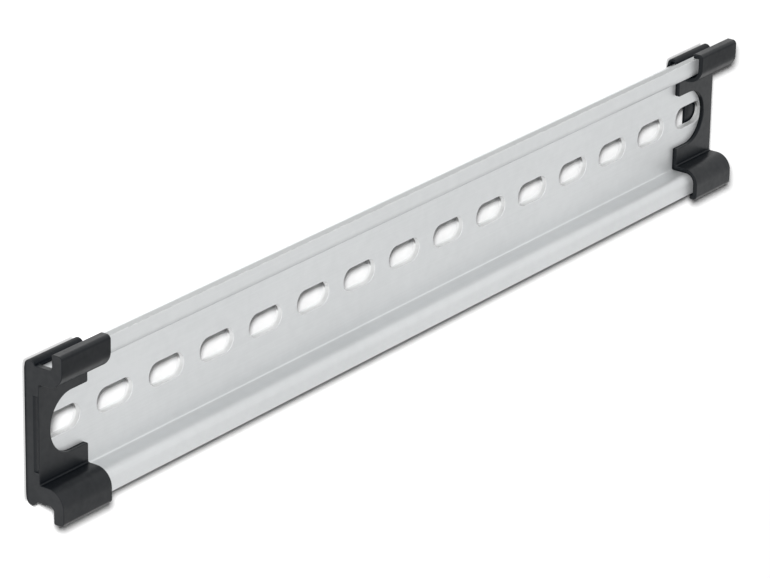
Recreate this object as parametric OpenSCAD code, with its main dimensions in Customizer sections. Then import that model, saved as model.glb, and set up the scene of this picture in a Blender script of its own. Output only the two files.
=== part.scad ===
// Slotted top-hat mounting rail with a moulded bracket pushed onto each end.
// The rail lies on its back: X runs along it, Y across it, and +Z comes out of its open front.
// The origin is at the middle of the footprint, on the surface that the two brackets rest on.

/* [Rail] */
// Length of the cut rail
rail_length = 252; // [150:1:300]
// Width over the two lips
rail_width = 35; // [35:0.1:35.6]
// Depth from the back of the web to the front of the lips
rail_depth = 7.5; // [7.2:0.1:8.4]
// Width of the open channel between the side walls
channel_width = 25; // [24.6:0.1:25.4]
// Thickness of the metal
rail_wall = 1.8; // [1.5:0.05:1.9]
// Outer radius where a side wall turns into its lip
lip_bend_r = 2.2; // [0.8:0.1:2.4]
// Outer radius where the web turns into a side wall
web_bend_r = 0.4; // [0.2:0.1:1.2]
// Radius in the hollow corners of the section
hollow_r = 0.4; // [0.2:0.05:0.45]
// Radius on the free edges of the lips
edge_r = 0.15; // [0.1:0.05:0.7]

/* [Slots] */
// Distance from one slot to the next
slot_pitch = 17; // [16:0.5:20]
// Length of a slot from end to end
slot_length = 11.6; // [9:0.1:13]
// Width of a slot
slot_width = 5.5; // [4.2:0.1:6.4]
// Least metal left between the last slot and the end of the rail
end_land = 1; // [0.8:0.1:3]

/* [Brackets] */
// Width of a bracket along the rail
bracket_width = 15.4; // [14:0.1:20]
// Thickness of the wall that closes the end of the rail
end_wall = 1.5; // [1:0.1:2.5]
// Thickness of the plate that lies in the channel
front_plate = 1.2; // [1:0.1:1.6]
// Thickness of the plate behind the web
back_plate = 0.8; // [0.6:0.1:1.5]
// Thickness of the jaw and hook walls
grip_wall = 1.2; // [0.9:0.1:1.6]
// Gap between plastic and metal where they seat
seat_gap = 0.1; // [0.05:0.05:0.15]
// Room in front of the lips, inside the jaw and the hook
lip_room = 0.7; // [0.6:0.1:1.2]
// Outer radius where the jaw and the hook turn over the lips
shoulder_r = 4; // [3:0.1:4.2]
// Inner radius under the shoulder of the jaw and the hook
shoulder_inner_r = 2.3; // [1.8:0.1:2.3]
// Radius in the corners where the jaw and the hook rise from the plate
root_r = 0.4; // [0.2:0.1:0.8]
// Radius along the front edges of the jaw and the hook
nose_r = 1; // [0.2:0.1:1.2]
// Radius along the back edges of the jaw and the hook
tip_r = 0.4; // [0.2:0.1:0.5]
// Length of the jaw's tip and of the end wall's tips, from front to back
tip_depth = 2.7; // [2.2:0.1:3.2]
// Length of the catch on the hook's tip, from front to back
catch_depth = 2.1; // [1.6:0.1:2.3]

/* [Bracket openings] */
// Radius of the round notch in the front plate
notch_r = 6.8; // [5:0.1:7.4]
// Distance from the plate's inner edge to the centre of the notch
notch_inset = 5; // [3:0.1:5.8]
// Radius on the corners beside the notch
notch_corner_r = 0.4; // [0.3:0.1:1.5]
// Width of the recess in the back plate
back_recess_width = 19; // [12:0.5:21]
// Depth of the recess in the back plate, from the inner edge
back_recess_depth = 8.3; // [4:0.1:8.8]
// Radius in the corners of the recess
back_recess_r = 2; // [0.5:0.1:3]

/* [Bead and relief] */
// Outer radius of the rolled bead
bead_r = 1.4; // [1.1:0.1:1.4]
// Height of the rolled bead above the side wall
bead_rise = 1.8; // [1.6:0.1:2.6]
// Reach of the bead over the side wall, from the back of the web
bead_reach = 2.2; // [2:0.1:2.6]
// Wall of the bead
bead_wall = 0.65; // [0.5:0.05:0.8]
// Height that the end wall stands out beyond the side walls
end_wall_rise = 0.8; // [0.4:0.1:1.2]
// Radius in the corners between the end wall and its tips
arch_r = 1; // [0.3:0.1:1.6]
// Radius on the upright back edge of the end wall
back_edge_r = 0.5; // [0.3:0.1:1.4]
// Radius of the hollow that runs across the outer face of the end wall
relief_r = 1.1; // [0.6:0.1:1.6]
// Depth of the hollow
relief_depth = 0.25; // [0.1:0.05:0.4]
// Length of the hollow
relief_length = 17; // [8:0.5:22]
// Distance from the front of the plate to the middle of the hollow
relief_inset = 0.9; // [0.7:0.1:1.4]

/* [Colours] */
// Colour of the rail
rail_colour = "#d2d4d4";
// Colour of the brackets
bracket_colour = "#2e3032";

/* [Hidden] */

// Segments of a full circle
facets = 48;
// Overlap that keeps a cut clear of the face it starts from
cut = 0.5;

// Heights above the surface that the brackets rest on
web_back_z = back_plate + seat_gap;
web_front_z = web_back_z + rail_wall;
lip_back_z = web_back_z + rail_depth - rail_wall;
lip_front_z = web_back_z + rail_depth;
plate_back_z = web_front_z + seat_gap;
plate_front_z = plate_back_z + front_plate;
grip_inner_z = lip_front_z + lip_room;
grip_front_z = grip_inner_z + grip_wall;

// Distances from the middle of the rail
channel_y = channel_width / 2;
side_wall_y = channel_y + rail_wall;
lip_y = rail_width / 2;
plate_y = channel_y - seat_gap;
grip_root_y = plate_y - grip_wall;
grip_edge_y = lip_y + seat_gap + grip_wall;
back_edge_y = side_wall_y - back_plate;
bead_foot_y = side_wall_y + seat_gap;
bead_y = side_wall_y + bead_rise - bead_r;
bead_front_z = web_back_z + bead_reach;
bead_z = bead_front_z - bead_r;
end_wall_y = side_wall_y + end_wall_rise;

// Slots that fit in the length, and the place of the first one
slot_count = floor((rail_length - 2 * end_land - slot_length) / slot_pitch) + 1;
first_slot_x = -(slot_count - 1) * slot_pitch / 2;
slot_r = slot_width / 2;

// Outer face of the end wall, measured from the middle of the rail
bracket_outer_x = rail_length / 2 + seat_gap + end_wall;

// Draws its child outline in Y and Z and carries it along X
module along_x(from, length) {
    translate([from, 0, 0])
        rotate([90, 0, 90])
            linear_extrude(height = length)
                children();
}

// Sliver between a square corner at the origin and the arc of radius r that rounds it
module corner_sliver(r, turn = 0) {
    rotate(turn)
        difference() {
            translate([-cut, -cut])
                square(r + cut);
            translate([r, r])
                circle(r = r, $fn = facets);
            translate([r, -2 * cut])
                square([r, r + 4 * cut]);
            translate([-2 * cut, r])
                square([r + 4 * cut, r]);
        }
}

// Small fillet that fills a hollow corner at the origin
module hollow_fillet(r, turn = 0) {
    rotate(turn)
        difference() {
            translate([-r / 4, -r / 4])
                square(r * 5 / 4);
            translate([r, r])
                circle(r = r, $fn = facets);
        }
}

// Half of the top-hat section, on the +Y side
module rail_half() {
    difference() {
        union() {
            translate([-cut, web_back_z])
                square([side_wall_y + cut, rail_wall]);
            translate([channel_y, web_back_z])
                square([rail_wall, rail_depth]);
            translate([channel_y, lip_back_z])
                square([lip_y - channel_y, rail_wall]);
            translate([channel_y, web_front_z])
                hollow_fillet(hollow_r, 90);
            translate([side_wall_y, lip_back_z])
                hollow_fillet(hollow_r, 270);
        }
        translate([channel_y, lip_front_z])
            corner_sliver(lip_bend_r, 270);
        translate([side_wall_y, web_back_z])
            corner_sliver(web_bend_r, 90);
        translate([lip_y, lip_front_z])
            corner_sliver(edge_r, 180);
        translate([lip_y, lip_back_z])
            corner_sliver(edge_r, 90);
    }
}

module rail_section() {
    rail_half();
    mirror([1, 0])
        rail_half();
}

// One slot with round ends, cut through the web
module slot(x) {
    straight = slot_length - slot_width;
    depth = rail_wall + 2 * cut;
    translate([x, 0, web_back_z - cut]) {
        for (side = [-1, 1])
            translate([side * straight / 2, 0, 0])
                cylinder(r = slot_r, h = depth, $fn = facets);
        translate([-straight / 2, -slot_r, 0])
            cube([straight, slot_width, depth]);
    }
}

module rail() {
    color(rail_colour)
        difference() {
            along_x(-rail_length / 2, rail_length)
                rail_section();
            for (i = [0 : slot_count - 1])
                slot(first_slot_x + i * slot_pitch);
        }
}

// Outline of a jaw on the +Y side, from the plate over the shoulder and out past the lip
module grip_fill(depth) {
    difference() {
        translate([grip_root_y, plate_back_z])
            square([grip_edge_y - grip_root_y, grip_front_z - plate_back_z]);
        translate([grip_root_y, grip_front_z])
            corner_sliver(shoulder_r, 270);
        translate([grip_edge_y, grip_front_z])
            corner_sliver(nose_r, 180);
        translate([side_wall_y, plate_back_z - cut])
            square([grip_edge_y - side_wall_y + cut, grip_front_z - depth - plate_back_z + cut]);
        translate([grip_edge_y, grip_front_z - depth])
            corner_sliver(tip_r, 90);
    }
}

// Room inside a jaw for the side wall and the lip
module grip_room() {
    difference() {
        translate([plate_y, plate_back_z - cut])
            square([grip_edge_y - grip_wall - plate_y, grip_inner_z - plate_back_z + cut]);
        translate([plate_y, grip_inner_z])
            corner_sliver(shoulder_inner_r, 270);
    }
}

// Jaw with a tip of the given length from front to back
module grip(depth) {
    difference() {
        grip_fill(depth);
        grip_room();
    }
}

// Outline of the bead, with the skin that runs straight to it from the round edge of the back plate
module bead_fill() {
    run = [bead_y - back_edge_y, bead_z - back_plate];
    turn = atan2(run[1], run[0]) - acos((back_plate - bead_r) / norm(run));
    outward = [cos(turn), sin(turn)];
    edge_centre = [back_edge_y, back_plate];
    bead_centre = [bead_y, bead_z];
    translate(edge_centre)
        circle(r = back_plate, $fn = facets);
    translate(bead_centre)
        circle(r = bead_r, $fn = facets);
    polygon([
        edge_centre,
        edge_centre + back_plate * outward,
        bead_centre + bead_r * outward,
        bead_centre
    ]);
}

// Room inside the bead and over the corner of the rail
module bead_room() {
    inner_r = bead_r - bead_wall;
    translate([bead_y, bead_z])
        circle(r = inner_r, $fn = facets);
    translate([bead_foot_y - cut, bead_z - inner_r])
        square([bead_y - bead_foot_y + cut, 2 * inner_r]);
    translate([channel_y - cut, back_plate])
        square([bead_foot_y - channel_y + cut, bead_front_z]);
}

// Bead that rolls from the back plate over the corner of a side wall
module bead_section() {
    difference() {
        bead_fill();
        bead_room();
    }
}

// Half of the section along the grip, with a tip of the given length
module grip_half(depth) {
    difference() {
        union() {
            translate([-cut, plate_back_z])
                square([plate_y + cut, front_plate]);
            grip(depth);
        }
        translate([plate_y, plate_back_z])
            corner_sliver(hollow_r, 90);
    }
    translate([grip_root_y, plate_front_z])
        hollow_fillet(root_r, 90);
    translate([-cut, 0])
        square([back_edge_y + cut, back_plate]);
    bead_section();
}

// Plates, beads, the jaw on the +Y side and the hook on the other
module grip_section() {
    grip_half(tip_depth);
    mirror([1, 0])
        grip_half(catch_depth);
}

// Half of the end wall, with the tip that stands behind the jaw or the hook
module end_half() {
    tip_z = grip_front_z - tip_depth;
    translate([-cut, 0])
        square([back_edge_y + cut, plate_front_z]);
    translate([back_edge_y - cut, bead_z])
        square([end_wall_y - back_edge_y + cut, tip_z - bead_z + cut]);
    bead_fill();
    grip_fill(tip_depth);
    translate([end_wall_y, tip_z])
        hollow_fillet(arch_r, 270);
    translate([grip_root_y, plate_front_z])
        hollow_fillet(root_r, 90);
}

module end_section() {
    end_half();
    mirror([1, 0])
        end_half();
}

// Round notch in the front plate, open towards the middle of the rail
module front_notch() {
    depth = front_plate + 2 * cut;
    centre_x = bracket_width - notch_inset;
    translate([centre_x, 0, plate_back_z - cut])
        cylinder(r = notch_r, h = depth, $fn = 2 * facets);
    translate([centre_x, -notch_r, plate_back_z - cut])
        cube([notch_inset + cut, 2 * notch_r, depth]);
    for (side = [0, 1])
        mirror([0, side, 0])
            translate([bracket_width, notch_r, plate_back_z - cut])
                linear_extrude(height = depth)
                    corner_sliver(notch_corner_r, 90);
}

// Recess in the back plate with two round corners
module back_recess() {
    depth = back_plate + 2 * cut;
    start_x = bracket_width - back_recess_depth;
    translate([0, 0, -cut])
        linear_extrude(height = depth)
            difference() {
                translate([start_x, -back_recess_width / 2])
                    square([back_recess_depth + cut, back_recess_width]);
                translate([start_x, -back_recess_width / 2])
                    corner_sliver(back_recess_r, 0);
                translate([start_x, back_recess_width / 2])
                    corner_sliver(back_recess_r, 270);
            }
}

// Shallow hollow in the outer face of the end wall, beside the front plate
module relief_hollow() {
    translate([relief_depth - relief_r, relief_length / 2, plate_front_z - relief_inset])
        rotate([90, 0, 0])
            cylinder(r = relief_r, h = relief_length, $fn = facets);
}

// Round on the upright back edge of the end wall
module back_edge_round() {
    translate([0, grip_edge_y, 0])
        rotate([90, 0, 0])
            linear_extrude(height = 2 * grip_edge_y)
                corner_sliver(back_edge_r);
}

// Bracket with its outer face at X = 0 and its grip towards +X
module bracket() {
    difference() {
        union() {
            along_x(0, end_wall)
                end_section();
            along_x(end_wall / 2, bracket_width - end_wall / 2)
                grip_section();
        }
        front_notch();
        back_recess();
        relief_hollow();
        back_edge_round();
    }
}

module left_end_bracket() {
    color(bracket_colour)
        translate([-bracket_outer_x, 0, 0])
            bracket();
}

module right_end_bracket() {
    color(bracket_colour)
        mirror([1, 0, 0])
            translate([-bracket_outer_x, 0, 0])
                bracket();
}

rail();
left_end_bracket();
right_end_bracket();
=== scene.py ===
"""A slotted aluminium mounting rail with a black moulded bracket on each end, lying on a white table."""

import math

import bmesh
import bpy
from mathutils import Euler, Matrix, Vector


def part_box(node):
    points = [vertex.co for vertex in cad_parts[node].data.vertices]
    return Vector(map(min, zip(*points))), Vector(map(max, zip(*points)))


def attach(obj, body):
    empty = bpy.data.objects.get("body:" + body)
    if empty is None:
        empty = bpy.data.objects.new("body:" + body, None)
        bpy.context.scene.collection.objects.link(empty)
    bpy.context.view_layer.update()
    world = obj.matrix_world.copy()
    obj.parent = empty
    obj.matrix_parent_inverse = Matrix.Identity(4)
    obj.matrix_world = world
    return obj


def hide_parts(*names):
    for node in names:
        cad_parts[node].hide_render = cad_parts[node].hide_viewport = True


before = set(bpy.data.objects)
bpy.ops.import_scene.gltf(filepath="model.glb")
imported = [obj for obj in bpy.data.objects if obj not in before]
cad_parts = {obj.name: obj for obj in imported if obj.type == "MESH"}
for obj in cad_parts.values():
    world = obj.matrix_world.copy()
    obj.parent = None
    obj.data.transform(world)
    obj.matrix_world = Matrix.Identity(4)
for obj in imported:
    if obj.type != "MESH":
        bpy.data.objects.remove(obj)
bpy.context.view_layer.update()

MM = 0.001
BLACK = (0.0, 0.0, 0.0, 1.0)
WHITE = (1.0, 1.0, 1.0, 1.0)

# Camera that took the photograph, fitted to the rail's edges and slots, with its turn in degrees
CAMERA_PLACE = (-720.4 * MM, 349.5 * MM, 518.1 * MM)
CAMERA_TURN = (-23.340, -53.743, 1.635)
CAMERA_LENS = 197.66
SENSOR_WIDTH = 36.0

# White table, and the strip of it below the web that has a lamp of its own
FLOOR_SIZE = 8000 * MM
STRIP_LENGTH = 250 * MM
STRIP_WIDTH = 18 * MM
FLOOR_TONE = (0.9, 0.9, 0.9, 1.0)

# Shade on the table beside what stands on it: its reach, how open the foot of a wall is, and its tone there
SHADE_REACH = 0.8 * MM
FOOT_OPEN = 0.5
FOOT_TONE = 0.5

# Share of the white room that lights matt surfaces
ROOM_FILL = 0.1

# Lamps for the table and the strip: shift from the camera, radius and strength
TABLE_LAMP = ((-18 * MM, 78 * MM, 0), 57 * MM, 93.0)
STRIP_LAMP = ((-90 * MM, 240 * MM, 0), 103 * MM, 68.0)

# Wide shadowless lamp on the part: where it comes from, its angle in degrees and its strength
PART_LAMP = ((-1.3, 1.0, 1.2), 60.0, 5.2)

# Distance at which points of a piece are merged, and angles of its corners: dissolved below the first,
# shaded as sharp above the second, and rounded above the third where they stand out
MERGE_DISTANCE = 0.001 * MM
FLAT_CORNER = math.radians(0.5)
SHARP_CORNER = math.radians(30)
ROUNDED_CORNER = math.radians(50)

# Rounds on the pieces' corners
ROUND_SEGMENTS = 3
RAIL_ROUND = 0.12 * MM
BRACKET_ROUND = 0.15 * MM

# Rail: back and front of its web, free edges of its lips, and half the width of its slots
RAIL_LOW, RAIL_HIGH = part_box("rail")
RAIL_WALL = 1.8 * MM
WEB_BACK = RAIL_LOW.z
WEB_FRONT = WEB_BACK + RAIL_WALL
LIP_EDGE = RAIL_HIGH.y
SLOT_HALF_WIDTH = 2.75 * MM

# Cut walls of the slots: height of the line between their back part, painted light, and their duller front
# part, stretch of Y over which the front part goes from its least share of dull to all of it,
# and Y from which the back part lies fully in painted shade
CUT_LINE = WEB_BACK + 0.7 * MM
DULL_LOW = -2.6 * MM
DULL_HIGH = -1 * MM
DULL_LEAST = 0.45
SHADED_Y = 1 * MM

# Brackets: inner and outer ends, and front faces of the upper jaws
BRACKET_LOW, BRACKET_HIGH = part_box("right_end_bracket")
INNER_END = BRACKET_LOW.x
END_FACE = BRACKET_HIGH.x
JAW_FRONT = BRACKET_HIGH.z

# Painted shade on the part of each lip that a bracket shuts in: where it starts along the rail, across it and
# in height, the reach that its openness is judged by, and the openness at which it is fully shut in
SHUT_IN_ALONG = INNER_END + 2 * MM
SHUT_IN_ACROSS = LIP_EDGE - 6 * MM
SHUT_IN_HEIGHT = 4.7 * MM
SHUT_IN_REACH = 3 * MM
SHUT_IN_OPEN = 0.8

# Ridge behind each upper jaw, and Y from which the brackets' upper side counts in full
RIDGE_START = 14.8 * MM
RIDGE_TOP = 4.4 * MM
UPPER_SIDE = 5 * MM

# Shallow relief in the outer face of each bracket
RELIEF_DEPTH = 0.25 * MM
RELIEF_MIDDLE = 3.1 * MM
RELIEF_HALF_WIDTH = 0.7 * MM
RELIEF_END = 8.5 * MM

# Widths over which one finish turns into the next
TURN = 0.1 * MM
WIDE_TURN = 0.5 * MM
WIDEST_TURN = 1 * MM

# Rubbed edges: product of a rounded normal and the true one from where the rubbing starts to where it is full,
# and the same for the noise that breaks it up
RUB_LEAN = (0.995, 0.85)
RUB_PATCHES = (0.3, 0.65)

# Aluminium: stretch of its drawn lines, their two tones and places in the ramp, and its tints, some of them
# painted light and shade
LINE_STRETCH = (6.0, 2200.0, 2200.0)
METAL_DARK = (0.628, 0.642, 0.648, 1.0)
METAL_LIGHT = (0.668, 0.682, 0.688, 1.0)
DARK_PLACE = 0.2
LIGHT_PLACE = 0.8
RUBBED_METAL = (0.76, 0.77, 0.77, 1.0)
LIP_EDGE_PAINTED_SHADE = (0.40, 0.41, 0.41, 1.0)
CUT_WALL_PAINTED_LIGHT = (0.97, 0.975, 0.975, 1.0)
DULL_CUT = (0.80, 0.805, 0.805, 1.0)
SHADED_CUT = (0.2, 0.2, 0.2, 1.0)
SHUT_IN_PAINTED_SHADE = (0.05, 0.05, 0.05, 1.0)
METAL_ROUGHNESS = 0.46
LINES_ROUGHNESS = 0.08

# Plastic: its two tones, its gloss, and the openness over which the gloss comes back out of a corner, where
# less gloss is painted shade
PLASTIC = (0.0037, 0.0048, 0.0062, 1.0)
RUBBED_PLASTIC = (0.015, 0.017, 0.019, 1.0)
GLOSS = 0.93
GLOSS_DRIFT = 0.4
CORNER_REACH = 1.2 * MM
CORNER_SHADE_OPEN = (0.6, 0.97)

# How much gloss the plastic loses in places as painted shade, and how far edge on its faces have to be seen
# for the glancing share
RELIEF_GLOSS_SHADE = 0.3
JAW_GLOSS_SHADE = 0.38
RIDGE_GLOSS_SHADE = 0.5
GLANCING_GLOSS_SHADE = 0.8
GLANCING_FACING = (0.66, 0.94)

# Depth of the bumps in both materials
BUMP_DEPTH = 0.01 * MM

FLOAT = "NodeSocketFloat"
VECTOR = "NodeSocketVector"


# Node trees


def node_adder(tree):
    """Empties a node tree and gives a short way to add a node to it with its inputs and settings."""
    tree.nodes.clear()

    def add(kind, inputs=None, **settings):
        node = tree.nodes.new(kind)
        for name, value in settings.items():
            setattr(node, name, value)
        for key, value in (inputs or {}).items():
            if isinstance(value, bpy.types.NodeSocket):
                tree.links.new(value, node.inputs[key])
            else:
                node.inputs[key].default_value = value
        return node

    return add


def new_material(name):
    """A material with an empty node tree, and the way to add nodes to it."""
    material = bpy.data.materials.new(name)
    material.use_nodes = True
    return material, node_adder(material.node_tree)


def new_group(name, inputs, output):
    """A shader node group with the way to add nodes to it, and the sockets of its inputs.

    Each input is a name, a type and a value. The one output is a number."""
    tree = bpy.data.node_groups.new(name, "ShaderNodeTree")
    for label, kind, value in inputs:
        tree.interface.new_socket(label, in_out="INPUT", socket_type=kind).default_value = value
    tree.interface.new_socket(output, in_out="OUTPUT", socket_type=FLOAT)
    add = node_adder(tree)
    return tree, add, add("NodeGroupInput").outputs


def use_group(add, groups, name, inputs):
    """Output of one of the groups with the given inputs."""
    return add("ShaderNodeGroup", inputs, node_tree=groups[name]).outputs[0]


def math_node(add, operation, first, second=0.0):
    """Output of a Math node on two numbers or sockets."""
    return add("ShaderNodeMath", {0: first, 1: second}, operation=operation).outputs[0]


def product(add, *factors):
    """Product of several numbers or sockets."""
    result = factors[0]
    for factor in factors[1:]:
        result = math_node(add, "MULTIPLY", result, factor)
    return result


def distance(add, value):
    """How far a value is from zero."""
    return math_node(add, "ABSOLUTE", value)


def rest(add, share):
    """What a share leaves of one."""
    return math_node(add, "SUBTRACT", 1.0, share)


def ramp(add, value, low, high, to_low=0.0, to_high=1.0):
    """Smooth step of a value from one range to another."""
    ends = {"Value": value, "From Min": low, "From Max": high, "To Min": to_low, "To Max": to_high}
    return add("ShaderNodeMapRange", ends, interpolation_type="SMOOTHSTEP").outputs["Result"]


def drifted(add, base, drift, amount):
    """A number that follows a drift by an amount around its base."""
    return add("ShaderNodeMath", {0: drift, 1: amount, 2: base}, operation="MULTIPLY_ADD",
               use_clamp=True).outputs[0]


def tinted(add, colour, layers):
    """A colour with several tints laid over it, each by its own mask."""
    for mask, tint in layers:
        mix = add("ShaderNodeMix", {"Factor": mask, "A": colour, "B": tint}, data_type="RGBA")
        colour = mix.outputs["Result"]
    return colour


def noise(add, place, scale, detail, roughness=0.5):
    """Value of a noise at a place."""
    return add("ShaderNodeTexNoise", {"Vector": place, "Scale": scale, "Detail": detail,
                                      "Roughness": roughness}).outputs["Fac"]


def object_place(add):
    """Socket of a point's place in its object."""
    return add("ShaderNodeTexCoord").outputs["Object"]


def split_place(add):
    """Sockets of a point's place in its object, along X, Y and Z."""
    return add("ShaderNodeSeparateXYZ", {"Vector": object_place(add)}).outputs


def edge_rub_group():
    """Mask of rubbed convex edges: how far a rounded normal leans from the true one, broken up by noise."""
    tree, add, given = new_group(
        "edge_rub", [("Radius", FLOAT, 0.4 * MM), ("Patchiness", FLOAT, 600.0)], "Mask")
    rounded = add("ShaderNodeBevel", {"Radius": given["Radius"]}, samples=4).outputs["Normal"]
    true = add("ShaderNodeNewGeometry").outputs["Normal"]
    lean = add("ShaderNodeVectorMath", {0: rounded, 1: true}, operation="DOT_PRODUCT").outputs["Value"]
    patches = noise(add, object_place(add), given["Patchiness"], 3.0)
    mask = product(add, ramp(add, lean, *RUB_LEAN), ramp(add, patches, *RUB_PATCHES))
    add("NodeGroupOutput", {"Mask": mask})
    return tree


def cloudiness_group():
    """Soft drift of tone over a surface, from two sizes of noise, centred on zero."""
    tree, add, given = new_group("cloudiness", [("Size", FLOAT, 30.0), ("Fine Size", FLOAT, 400.0)], "Drift")
    place = object_place(add)
    broad = noise(add, place, given["Size"], 2.0)
    fine = noise(add, place, given["Fine Size"], 4.0)
    both = math_node(add, "ADD", broad, fine)
    add("NodeGroupOutput", {"Drift": math_node(add, "SUBTRACT", both, 1.0)})
    return tree


def drawn_lines_group():
    """Fine lines along one axis: noise stretched by a hundred or more times along it."""
    tree, add, given = new_group(
        "drawn_lines", [("Stretch", VECTOR, (1.0, 1.0, 1.0)), ("Detail", FLOAT, 3.0)], "Lines")
    stretched = add("ShaderNodeVectorMath", {0: object_place(add), 1: given["Stretch"]}, operation="MULTIPLY")
    add("NodeGroupOutput", {"Lines": noise(add, stretched.outputs["Vector"], 1.0, given["Detail"], 0.6)})
    return tree


def grain_group():
    """Moulded or blasted grain: rounded cells over a finer noise."""
    tree, add, given = new_group("grain", [("Size", FLOAT, 3000.0)], "Height")
    place = object_place(add)
    cells = add("ShaderNodeTexVoronoi", {"Vector": place, "Scale": given["Size"]}, feature="SMOOTH_F1")
    height = math_node(add, "ADD", cells.outputs["Distance"], noise(add, place, given["Size"], 2.0))
    add("NodeGroupOutput", {"Height": height})
    return tree


def openness_group():
    """How open a point is, from nothing in a closed corner to one in the open, within a short reach."""
    tree, add, given = new_group("openness", [("Reach", FLOAT, 2 * MM)], "Open")
    occlusion = add("ShaderNodeAmbientOcclusion", {"Distance": given["Reach"]}, samples=8)
    add("NodeGroupOutput", {"Open": occlusion.outputs["AO"]})
    return tree


# Materials


def cut_wall_layers(add, place, across):
    """Tints of the slots' cut walls: painted light, duller towards the front, and painted shade in the upper
    back part.
    """
    in_slot = ramp(add, across, SLOT_HALF_WIDTH + TURN / 2, SLOT_HALF_WIDTH)
    below_front = ramp(add, place["Z"], WEB_FRONT, WEB_FRONT - TURN)
    above_back = ramp(add, place["Z"], WEB_BACK, WEB_BACK + TURN)
    wall = product(add, in_slot, product(add, below_front, above_back))
    front = ramp(add, place["Z"], CUT_LINE - 1.5 * TURN, CUT_LINE + 1.5 * TURN)
    dull = product(add, wall, front, ramp(add, place["Y"], DULL_LOW, DULL_HIGH, DULL_LEAST, 1.0))
    # The bright tint on the walls is painted light, and the dark one in their upper back part is painted shade
    shaded = product(add, wall, rest(add, front), ramp(add, place["Y"], 0.0, SHADED_Y))
    return [(wall, CUT_WALL_PAINTED_LIGHT), (dull, DULL_CUT), (shaded, SHADED_CUT)]


def shut_in_shade_mask(add, groups, place, across):
    """Mask of painted shade on the lips' parts that face the brackets across a narrow gap."""
    along = distance(add, place["X"])
    held = product(
        add,
        ramp(add, along, SHUT_IN_ALONG, SHUT_IN_ALONG + 2 * WIDEST_TURN),
        ramp(add, across, SHUT_IN_ACROSS, SHUT_IN_ACROSS + WIDEST_TURN),
        ramp(add, place["Z"], SHUT_IN_HEIGHT, SHUT_IN_HEIGHT + WIDEST_TURN))
    openness = use_group(add, groups, "openness", {"Reach": SHUT_IN_REACH})
    return product(add, held, ramp(add, openness, 1.0, SHUT_IN_OPEN))


def rail_metal(groups):
    """Satin aluminium: drawn lines, cut slot walls with painted light and shade, painted shade on the lips,
    rubbed corners.
    """
    material, add = new_material("satin_aluminium")
    rub = use_group(add, groups, "edge_rub", {"Radius": 0.35 * MM, "Patchiness": 500.0})
    cloud = use_group(add, groups, "cloudiness", {"Size": 25.0, "Fine Size": 350.0})
    lines = use_group(add, groups, "drawn_lines", {"Stretch": LINE_STRETCH})
    grain = use_group(add, groups, "grain", {"Size": 5000.0})
    place = split_place(add)
    across = distance(add, place["Y"])

    tone = add("ShaderNodeValToRGB", {"Fac": math_node(add, "ADD", cloud, lines)})
    dark, light = tone.color_ramp.elements
    dark.position = DARK_PLACE
    dark.color = METAL_DARK
    light.position = LIGHT_PLACE
    light.color = METAL_LIGHT
    # Painted shade on the lips' free edges, darker than the rest of the metal
    shaded_free_edge = ramp(add, across, LIP_EDGE - TURN, LIP_EDGE - TURN / 5)
    colour = tinted(add, tone.outputs["Color"], [
        (shaded_free_edge, LIP_EDGE_PAINTED_SHADE),
        *cut_wall_layers(add, place, across),
        (rub, RUBBED_METAL),
        # Painted shade where the brackets shut the lips in
        (shut_in_shade_mask(add, groups, place, across), SHUT_IN_PAINTED_SHADE)])

    bump = add("ShaderNodeBump", {"Height": math_node(add, "ADD", lines, grain), "Strength": 0.25,
                                  "Distance": BUMP_DEPTH})
    rough = drifted(add, METAL_ROUGHNESS, lines, LINES_ROUGHNESS)
    shader = add("ShaderNodeBsdfPrincipled", {
        "Base Color": colour, "Metallic": 0.7, "Roughness": rough, "Normal": bump.outputs["Normal"]})
    add("ShaderNodeOutputMaterial", {"Surface": shader.outputs["BSDF"]})
    return material


def relief_mask(add, place, along):
    """Mask of the shallow relief in each end face."""
    height = distance(add, math_node(add, "SUBTRACT", place["Z"], RELIEF_MIDDLE))
    between = ramp(add, height, RELIEF_HALF_WIDTH, 0.6 * RELIEF_HALF_WIDTH)
    sunk = ramp(add, along, END_FACE - RELIEF_DEPTH - TURN, END_FACE - TURN / 2, 1.0, 0.0)
    near_end = ramp(add, along, END_FACE - 6 * TURN, END_FACE - 4 * TURN)
    return product(add, between, product(add, sunk, near_end))


def gloss_shade_mask(add, place, along):
    """How much gloss is taken off as painted shade: seen edge on and on the jaws' fronts in its upper part,
    and on the ridges.
    """
    facing = add("ShaderNodeLayerWeight", {"Blend": 0.5}).outputs["Facing"]
    glancing = ramp(add, facing, *GLANCING_FACING, 0.0, GLANCING_GLOSS_SHADE)
    jaw = ramp(add, place["Z"], JAW_FRONT - 3 * TURN, JAW_FRONT - TURN / 2, 0.0, JAW_GLOSS_SHADE)
    upper = product(add, math_node(add, "MAXIMUM", glancing, jaw), ramp(add, place["Y"], 0.0, UPPER_SIDE))
    ridge = product(
        add,
        ramp(add, place["Y"], RIDGE_START, RIDGE_START + WIDE_TURN),
        ramp(add, place["Z"], RIDGE_TOP + WIDE_TURN, RIDGE_TOP),
        ramp(add, along, END_FACE - TURN, END_FACE - 3 * TURN, 0.0, RIDGE_GLOSS_SHADE))
    return math_node(add, "MAXIMUM", upper, ridge)


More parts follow.
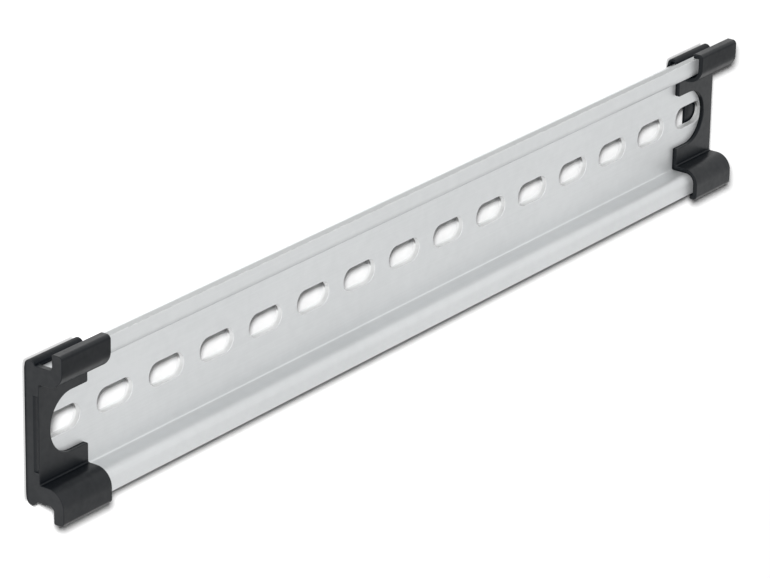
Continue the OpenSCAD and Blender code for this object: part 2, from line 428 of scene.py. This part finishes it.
def bracket_plastic(groups):
    """Black moulded plastic: fine grain, faint cloudiness in its gloss, greyer rubbed edges, and painted shade
    as less gloss in places.
    """
    material, add = new_material("black_plastic")
    rub = use_group(add, groups, "edge_rub", {"Radius": 0.3 * MM, "Patchiness": 900.0})
    cloud = use_group(add, groups, "cloudiness", {"Size": 90.0, "Fine Size": 700.0})
    grain = use_group(add, groups, "grain", {"Size": 4000.0})
    place = split_place(add)
    along = distance(add, place["X"])

    colour = tinted(add, PLASTIC, [(rub, RUBBED_PLASTIC)])
    openness = use_group(add, groups, "openness", {"Reach": CORNER_REACH})
    # Less gloss in the relief, on the upper side and on the ridges is painted shade
    gloss = product(
        add,
        drifted(add, GLOSS, cloud, GLOSS_DRIFT),
        rest(add, product(add, relief_mask(add, place, along), RELIEF_GLOSS_SHADE)),
        # Less gloss in corners is painted shade
        ramp(add, openness, *CORNER_SHADE_OPEN),
        rest(add, gloss_shade_mask(add, place, along)))
    bump = add("ShaderNodeBump", {"Height": grain, "Strength": 0.2, "Distance": BUMP_DEPTH})
    shader = add("ShaderNodeBsdfPrincipled", {
        "Base Color": colour, "Roughness": 0.5, "Normal": bump.outputs["Normal"], "Specular IOR Level": 0.0,
        "Coat Weight": gloss, "Coat Roughness": 0.34, "Coat IOR": 1.4})
    add("ShaderNodeOutputMaterial", {"Surface": shader.outputs["BSDF"]})
    return material


def table_paint(groups, name, shaded):
    """Matt white of the table, which turns greyer beside what stands on it if it is the shaded part."""
    material, add = new_material(name)
    colour = FLOOR_TONE
    if shaded:
        openness = use_group(add, groups, "openness", {"Reach": SHADE_REACH})
        colour = tinted(add, BLACK, [(ramp(add, openness, FOOT_OPEN, 1.0, FOOT_TONE, 1.0), FLOOR_TONE)])
    shader = add("ShaderNodeBsdfDiffuse", {"Color": colour})
    add("ShaderNodeOutputMaterial", {"Surface": shader.outputs["BSDF"]})
    return material


# Pieces


def in_relief(edge):
    """Whether an edge belongs to the shallow relief, which stays as it is."""
    margin = TURN / 2
    return all(abs(vertex.co.x) > END_FACE - RELIEF_DEPTH - margin and abs(vertex.co.y) < RELIEF_END + margin
               and abs(vertex.co.z - RELIEF_MIDDLE) < RELIEF_HALF_WIDTH + margin for vertex in edge.verts)


def rounded_copy(node, name, width, material):
    """A copy of a CAD node, merged, without needless edges and with a small round along its outer corners."""
    mesh = bpy.data.meshes.new(name)
    work = bmesh.new()
    work.from_mesh(node.data)
    bmesh.ops.remove_doubles(work, verts=work.verts, dist=MERGE_DISTANCE)
    bmesh.ops.dissolve_limit(work, angle_limit=FLAT_CORNER, verts=work.verts, edges=work.edges)
    weight = work.edges.layers.float.new("bevel_weight_edge")
    for edge in work.edges:
        if edge.calc_face_angle_signed() > ROUNDED_CORNER and not in_relief(edge):
            edge[weight] = 1.0
    for face in work.faces:
        face.smooth = True
        face.material_index = 0
    work.to_mesh(mesh)
    work.free()
    mesh.set_sharp_from_angle(angle=SHARP_CORNER)
    mesh.materials.append(material)
    piece = bpy.data.objects.new(name, mesh)
    bpy.context.scene.collection.objects.link(piece)
    rounding = piece.modifiers.new("edge_rounds", "BEVEL")
    rounding.limit_method = "WEIGHT"
    rounding.width = width
    rounding.segments = ROUND_SEGMENTS
    rounding.use_clamp_overlap = False
    rounding.loop_slide = False
    flattening = piece.modifiers.new("flat_faces", "WEIGHTED_NORMAL")
    flattening.keep_sharp = True
    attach(piece, "root")
    return piece


# Room, table, lamps and camera


def make_room():
    """A white room: full white to the camera and in reflections, a weaker fill on matt surfaces."""
    world = bpy.data.worlds.new("room")
    bpy.context.scene.world = world
    world.use_nodes = True
    add = node_adder(world.node_tree)
    path = add("ShaderNodeLightPath").outputs
    seen = math_node(add, "MAXIMUM", path["Is Camera Ray"],
                     math_node(add, "MAXIMUM", path["Is Glossy Ray"], path["Is Transmission Ray"]))
    fill = add("ShaderNodeBackground", {"Color": WHITE, "Strength": ROOM_FILL})
    white = add("ShaderNodeBackground", {"Color": WHITE, "Strength": 1.0})
    mix = add("ShaderNodeMixShader", {0: seen, 1: fill.outputs["Background"], 2: white.outputs["Background"]})
    add("ShaderNodeOutputWorld", {"Surface": mix.outputs["Shader"]})


def rectangle(length, width):
    """Corners of a rectangle round the middle of the table."""
    x, y = length / 2, width / 2
    return [(-x, -y), (x, -y), (x, y), (-x, y)]


def flat_piece(name, corners, faces, material):
    """A flat piece of the table, from its corners in X and Y."""
    mesh = bpy.data.meshes.new(name)
    mesh.from_pydata([(x, y, 0) for x, y in corners], [], faces)
    mesh.materials.append(material)
    piece = bpy.data.objects.new(name, mesh)
    bpy.context.scene.collection.objects.link(piece)
    return piece


def make_table(groups):
    """The table as a ring of four faces, shaded beside what stands on it, and the strip in its middle."""
    inner = rectangle(STRIP_LENGTH, STRIP_WIDTH)
    outer = rectangle(FLOOR_SIZE, FLOOR_SIZE)
    ring = [(side, (side + 1) % 4, (side + 1) % 4 + 4, side + 4) for side in range(4)]
    table = flat_piece("table", outer + inner, ring, table_paint(groups, "white_table", True))
    strip = flat_piece("table_strip", inner, [(0, 1, 2, 3)], table_paint(groups, "white_table_strip", False))
    return table, strip


def collection_of(name, objects):
    """A collection outside the scene's own tree, only for saying what a lamp lights."""
    group = bpy.data.collections.new(name)
    for thing in objects:
        group.objects.link(thing)
    return group


def new_lamp(name, kind, lit):
    """A lamp that lights only some of the pieces."""
    light = bpy.data.lights.new(name, kind)
    lamp = bpy.data.objects.new(name, light)
    bpy.context.scene.collection.objects.link(lamp)
    lamp.light_linking.receiver_collection = collection_of("lit_by_" + name, lit)
    return lamp, light


def make_table_lamp(name, surface, shift, radius, strength):
    """A round lamp beside the camera that lights the table as strongly far away as near."""
    lamp, light = new_lamp(name, "POINT", [surface])
    lamp.location = Vector(CAMERA_PLACE) + Vector(shift)
    light.shadow_soft_size = radius
    light.energy = 1.0
    light.use_nodes = True
    add = node_adder(light.node_tree)
    even = add("ShaderNodeLightFalloff", {"Strength": strength}).outputs["Constant"]
    glow = add("ShaderNodeEmission", {"Strength": even})
    add("ShaderNodeOutputLight", {"Surface": glow.outputs["Emission"]})


def make_part_lamp(pieces, place, angle, strength):
    """A wide lamp on the part that throws no shadow and shows in no reflection."""
    lamp, light = new_lamp("part_lamp", "SUN", pieces)
    lamp.rotation_euler = (-Vector(place)).to_track_quat("-Z", "Y").to_euler()
    lamp.visible_glossy = False
    light.angle = math.radians(angle)
    light.energy = strength
    light.use_shadow = False


def make_camera():
    """The camera of the photograph."""
    data = bpy.data.cameras.new("camera")
    data.lens = CAMERA_LENS
    data.sensor_width = SENSOR_WIDTH
    camera = bpy.data.objects.new("camera", data)
    camera.location = CAMERA_PLACE
    camera.rotation_euler = Euler([math.radians(angle) for angle in CAMERA_TURN], "XYZ")
    bpy.context.scene.collection.objects.link(camera)
    bpy.context.scene.camera = camera


bpy.context.scene.view_settings.view_transform = "Standard"
make_camera()
make_room()

groups = {
    "edge_rub": edge_rub_group(),
    "cloudiness": cloudiness_group(),
    "drawn_lines": drawn_lines_group(),
    "grain": grain_group(),
    "openness": openness_group(),
}
metal = rail_metal(groups)
plastic = bracket_plastic(groups)
table, strip = make_table(groups)

pieces = []
for node, name, width, material, slot in (
        ("rail", "slotted_rail", RAIL_ROUND, metal, "rail_aluminium"),
        ("left_end_bracket", "left_bracket", BRACKET_ROUND, plastic, "bracket_plastic"),
        ("right_end_bracket", "right_bracket", BRACKET_ROUND, plastic, "bracket_plastic")):
    piece = rounded_copy(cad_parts[node], name, width, material)
    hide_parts(node)
    pieces.append(piece)

make_table_lamp("table_lamp", table, *TABLE_LAMP)
make_table_lamp("strip_lamp", strip, *STRIP_LAMP)
make_part_lamp(pieces, *PART_LAMP)
